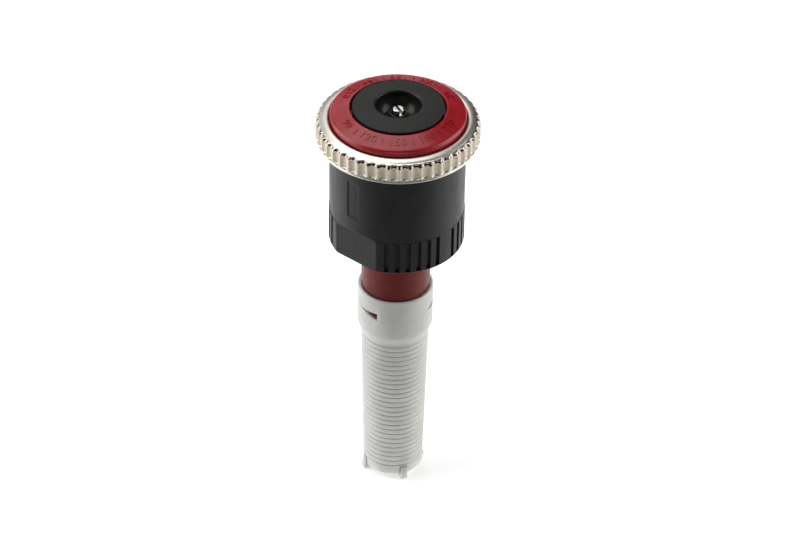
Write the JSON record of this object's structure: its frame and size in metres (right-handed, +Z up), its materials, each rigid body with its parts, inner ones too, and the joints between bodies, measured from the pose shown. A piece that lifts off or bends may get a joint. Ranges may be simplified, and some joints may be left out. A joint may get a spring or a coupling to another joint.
{
  "type": "pop-up sprinkler rotary nozzle",
  "caption": "Multi-stream rotary nozzle for a pop-up sprinkler, with a pop-up rotating head, a fluted arc ring, a radius screw and a clip-on filter basket.",
  "frame": {"origin": "centre of the filter's feet, on the surface that the nozzle stands on", "axes": "+Z up along the nozzle's axis; the wrench flat nearest the front faces -Y and a little -X"},
  "size_m": [0.0278, 0.0278, 0.0778],
  "materials": {
    "filter_plastic": "satin",
    "body_plastic": "satin",
    "maroon_plastic": "semi-gloss",
    "head_plastic": "gloss",
    "cap_plastic": "fine texture",
    "ring_metal": "nickel plated, satin",
    "stainless": "turned",
    "inner_plastic": "moulded",
    "bearing_plastic": "moulded",
    "seal_rubber": "matte"
  },
  "bodies": {
    "base": {"base_housing": "body_plastic", "inlet_tube": "maroon_plastic", "tube_oring": "seal_rubber", "throttle_seat": "inner_plastic", "stem_core": "inner_plastic", "core_oring": "seal_rubber", "shaft_bushing": "bearing_plastic", "return_spring": "stainless"},
    "arc_set": {"arc_ring": "ring_metal", "arc_sleeve": "inner_plastic", "sleeve_oring": "seal_rubber"},
    "lift": {"spring_retainer": "inner_plastic"},
    "screw": {"shaft": "stainless", "retainer_clip": "stainless", "nut_stop_clip": "stainless", "brake_stator": "bearing_plastic"},
    "throttle": {"throttle_nut": "bearing_plastic"},
    "head": {"rotor_deflector": "head_plastic", "rotor_cap": "cap_plastic", "upper_bearing": "bearing_plastic", "lower_bearing": "bearing_plastic", "lip_seal": "seal_rubber", "thrust_washer": "bearing_plastic", "cap_oring": "seal_rubber"},
    "filter": {"filter_basket": "filter_plastic"}
  },
  "joints": [
    {"name": "arc_adjust", "type": "hinge", "parent": "base", "child": "arc_set", "pos_m": [0, 0, 0.072], "axis": [0, 0, 1], "range_deg": [0, 120]},
    {"name": "pop_up", "type": "slide", "parent": "base", "child": "lift", "axis": [0, 0, 1], "range_m": [0, 0.005], "stiffness_N_per_m": 300, "springref_m": -0.004, "deforming": ["return_spring"]},
    {"name": "radius_screw", "type": "hinge", "parent": "lift", "child": "screw", "pos_m": [0, 0, 0.07], "axis": [0, 0, -1], "range_deg": [0, 900]},
    {"name": "throttle_travel", "type": "slide", "parent": "lift", "child": "throttle", "axis": [0, 0, 1], "range_m": [0, 0.002]},
    {"name": "head_spin", "type": "hinge", "parent": "lift", "child": "head", "pos_m": [0, 0, 0.074], "axis": [0, 0, 1], "continuous": true},
    {"name": "filter_pull", "type": "slide", "parent": "base", "child": "filter", "axis": [0, 0, -1], "range_m": [0, 0.01]}
  ],
  "couplings": [
    {"joint": "radius_screw", "follows": "throttle_travel", "rad_per_m": 7854}
  ]
}
